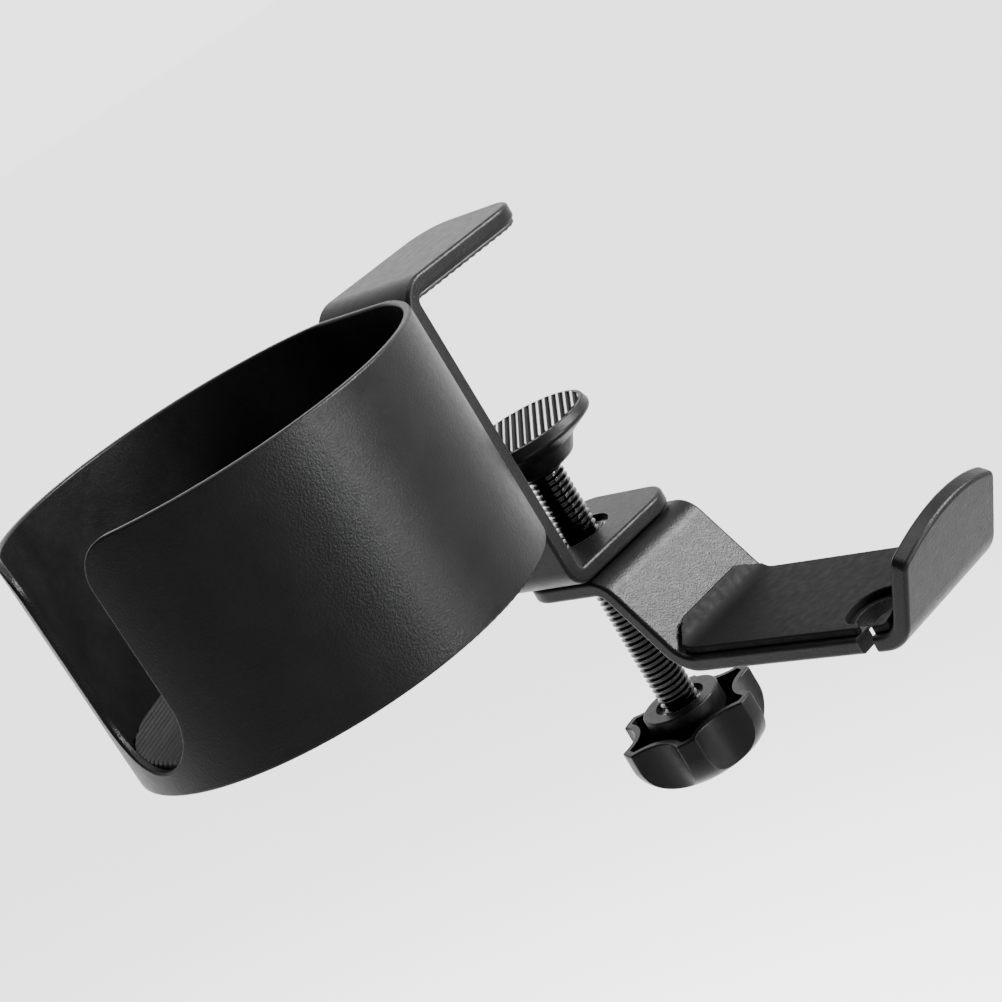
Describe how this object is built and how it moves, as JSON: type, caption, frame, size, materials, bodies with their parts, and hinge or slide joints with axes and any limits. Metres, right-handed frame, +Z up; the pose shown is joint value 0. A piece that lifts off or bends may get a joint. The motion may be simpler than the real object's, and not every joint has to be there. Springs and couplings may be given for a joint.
{
  "type": "desk clamp cup holder",
  "caption": "C-shaped desk-edge clamp with a screw and star knob that carries a round cup ring slotted for a mug handle, and a swivelling headphone hanger with a cable hole below",
  "frame": {"origin": "on the clamp screw's axis, on the face of the jaw pad that rests on the desk top", "axes": "+Z up, +X from the cup towards the desk, +Y along the desk's edge; the hanger at rest points along -Y"},
  "size_m": [0.1198, 0.1357, 0.1192],
  "materials": {
    "powder_coat": "fine-textured satin black powder coat",
    "rubber": "ribbed matt black rubber",
    "black_oxide": "blackened steel",
    "spring_steel": "plain steel",
    "black_nylon": "satin moulded black plastic"
  },
  "bodies": {
    "frame": {"clamp_bracket": "powder_coat", "top_jaw_pad": "rubber", "cup_ring": "powder_coat", "cup_floor": "powder_coat", "cup_mat": "rubber", "threaded_bush": "black_oxide", "swivel_washer": "black_nylon", "bush_retaining_ring": "spring_steel"},
    "foot": {"pressure_pad": "black_nylon", "pressure_pad_insert": "rubber"},
    "screw": {"clamp_screw": "black_oxide", "knob": "black_nylon", "knob_insert": "spring_steel"},
    "hanger": {"headphone_hanger": "powder_coat", "hanger_pad": "rubber"}
  },
  "joints": [
    {"name": "clamp_travel", "type": "slide", "parent": "frame", "child": "foot", "axis": [0, 0, 1], "range_m": [-0.013, 0.03]},
    {"name": "screw_turn", "type": "hinge", "parent": "foot", "child": "screw", "pos_m": [0, 0, -0.06], "axis": [0, 0, 1], "range_deg": [-3773, 8669]},
    {"name": "hanger_swivel", "type": "hinge", "parent": "frame", "child": "hanger", "pos_m": [0, 0, -0.06485], "axis": [0, 0, 1], "continuous": true}
  ],
  "couplings": [
    {"joint": "screw_turn", "follows": "clamp_travel", "rad_per_m": 5026.5}
  ]
}
